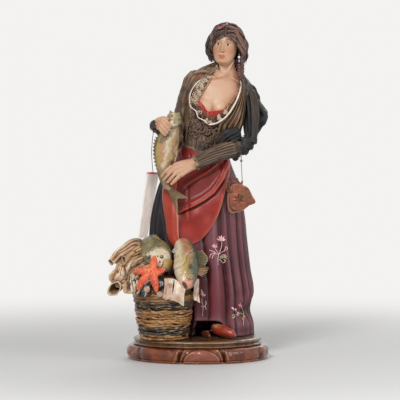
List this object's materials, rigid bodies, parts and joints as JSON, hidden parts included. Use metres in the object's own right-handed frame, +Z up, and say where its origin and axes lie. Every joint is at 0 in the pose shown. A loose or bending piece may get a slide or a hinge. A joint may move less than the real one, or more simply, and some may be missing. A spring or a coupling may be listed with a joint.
{
  "type": "terracotta figurine",
  "caption": "Painted terracotta figurine of a fish seller holding a fish beside a heaped basket, on an oval plinth, with a swinging purse and a hanging card tag.",
  "frame": {"origin": "middle of the plinth's flat underside", "axes": "+Z up; the figure faces -Y, which is the viewer's side; +X is the viewer's right"},
  "size_m": [0.2031, 0.1519, 0.416],
  "materials": {
    "base_glaze": "glossy red-brown varnish over fired clay",
    "ground_paint": "glossy olive-brown varnished clay",
    "skirt_paint": "satin plum paint with small painted flower sprays",
    "dark_paint": "satin blue-black paint",
    "apron_paint": "satin red paint",
    "flap_paint": "satin orange-red paint",
    "shoe_paint": "satin red and tan paint",
    "skin_paint": "satin flesh paint",
    "bodice_paint": "textured brown paint",
    "chemise_paint": "satin red paint",
    "lace_paint": "cream paint worn to brown",
    "jacket_paint": "dark brown striped paint",
    "sleeve_paint": "black-brown paint",
    "piping_paint": "pale paint",
    "hair_paint": "dark brown paint",
    "bow_paint": "dusty pink paint",
    "pearl": "pearl gloss",
    "fish_paint": "wet olive and cream gloss",
    "basket_paint": "ochre paint with dark bands",
    "catch_paint": "dark brown wash",
    "sacking_paint": "beige paint with dark wash in the folds",
    "starfish_paint": "orange-red paint",
    "mussel_paint": "blue-black gloss",
    "clam_paint": "tan gloss",
    "strip_paint": "ivory paint",
    "purse_paint": "painted leather brown, satin",
    "wire": "dull dark wire",
    "card": "pale folded card",
    "thread": "dark thread"
  },
  "bodies": {
    "figure": {"plinth": "base_glaze", "ground": "ground_paint", "skirt": "skirt_paint", "dark_panel": "dark_paint", "apron": "apron_paint", "apron_flap": "flap_paint", "front_shoe": "shoe_paint", "back_shoe": "shoe_paint", "torso": "skin_paint", "bodice": "bodice_paint", "chemise": "chemise_paint", "lace_trim": "lace_paint", "jacket": "jacket_paint", "hanging_sleeve": "sleeve_paint", "jacket_piping": "piping_paint", "right_upper_sleeve": "jacket_paint", "right_forearm_sleeve": "jacket_paint", "right_cuff": "sleeve_paint", "right_hand": "skin_paint", "left_upper_sleeve": "sleeve_paint", "elbow_ribbon": "sleeve_paint", "left_forearm_sleeve": "jacket_paint", "left_hand": "skin_paint", "head": "skin_paint", "hair": "hair_paint", "braid": "hair_paint", "hair_bow": "bow_paint", "earrings": "pearl", "held_fish": "fish_paint", "basket_base": "basket_paint", "basket_wall": "basket_paint", "basket_rim": "basket_paint", "catch_mound": "catch_paint", "sacking": "sacking_paint", "back_fish": "fish_paint", "big_fish": "fish_paint", "starfish": "starfish_paint", "mussels": "mussel_paint", "clams": "clam_paint", "fillet_strips": "strip_paint", "purse_staple": "wire"},
    "purse": {"purse_body": "purse_paint", "purse_flap": "purse_paint", "purse_strap_loops": "purse_paint", "purse_wire": "wire"},
    "tag": {"tag_card": "card", "tag_thread": "thread", "tag_loop": "thread"}
  },
  "joints": [
    {"name": "purse_swing", "type": "hinge", "parent": "figure", "child": "purse", "pos_m": [0.054, -0.017, 0.247], "axis": [0, 1, 0], "range_deg": [-20, 3]},
    {"name": "tag_swing", "type": "hinge", "parent": "figure", "child": "tag", "pos_m": [-0.05222, -0.04047, 0.29236], "axis": [0.5098, 0.7223, -0.4673], "range_deg": [-4, 15]}
  ]
}
